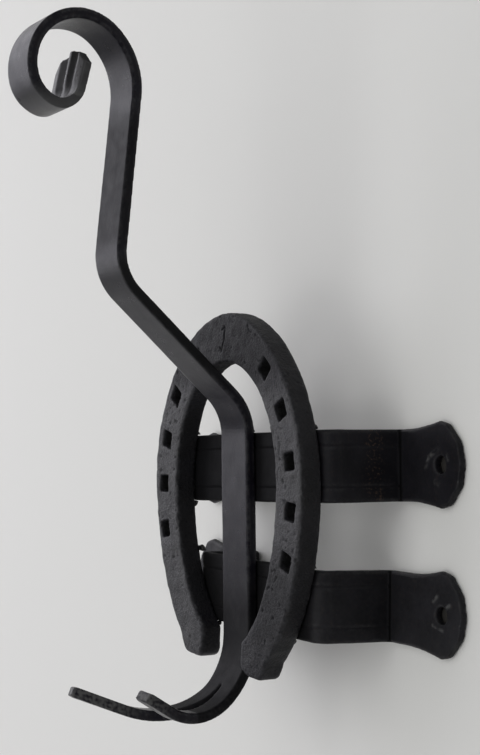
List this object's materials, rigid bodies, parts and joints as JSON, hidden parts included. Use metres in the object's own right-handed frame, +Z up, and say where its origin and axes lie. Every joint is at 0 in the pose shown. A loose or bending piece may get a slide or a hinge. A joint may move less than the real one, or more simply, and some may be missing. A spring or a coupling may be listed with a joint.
{
  "type": "horseshoe wall hook",
  "caption": "Wall-mounted tack hook of welded black iron: a horseshoe and a scrolled bar, slit into two prongs at its foot, on two bridge straps with screw ends.",
  "frame": {"origin": "on the wall plane at the straps' centre, about midway between the four screw holes", "axes": "+Y into the wall, so the hook stands out along -Y; +Z up; +X to the right for somebody who faces the wall"},
  "size_m": [0.19, 0.129, 0.2644],
  "materials": {
    "strap_paint": "black enamel, semi-gloss, rubbed thin on bends and edges, with a little rust-brown speckle",
    "shoe_paint": "matte charcoal paint over hammered, worn shoe iron",
    "bar_paint": "smooth satin black paint on drawn flat bar, rough on the cut faces of the prongs",
    "weld_paint": "black paint over a rippled weld bead"
  },
  "bodies": {
    "root": {"upper_strap": "strap_paint", "lower_strap": "strap_paint", "horseshoe": "shoe_paint", "hook_bar": "bar_paint", "weld_upper_left_branch_top": "weld_paint", "weld_upper_left_branch_bottom": "weld_paint", "weld_upper_bar_top": "weld_paint", "weld_upper_bar_bottom": "weld_paint", "weld_upper_right_branch_top": "weld_paint", "weld_upper_right_branch_bottom": "weld_paint", "weld_lower_left_branch_top": "weld_paint", "weld_lower_left_branch_bottom": "weld_paint", "weld_lower_bar_top": "weld_paint", "weld_lower_bar_bottom": "weld_paint", "weld_lower_right_branch_top": "weld_paint", "weld_lower_right_branch_bottom": "weld_paint"}
  },
  "joints": []
}
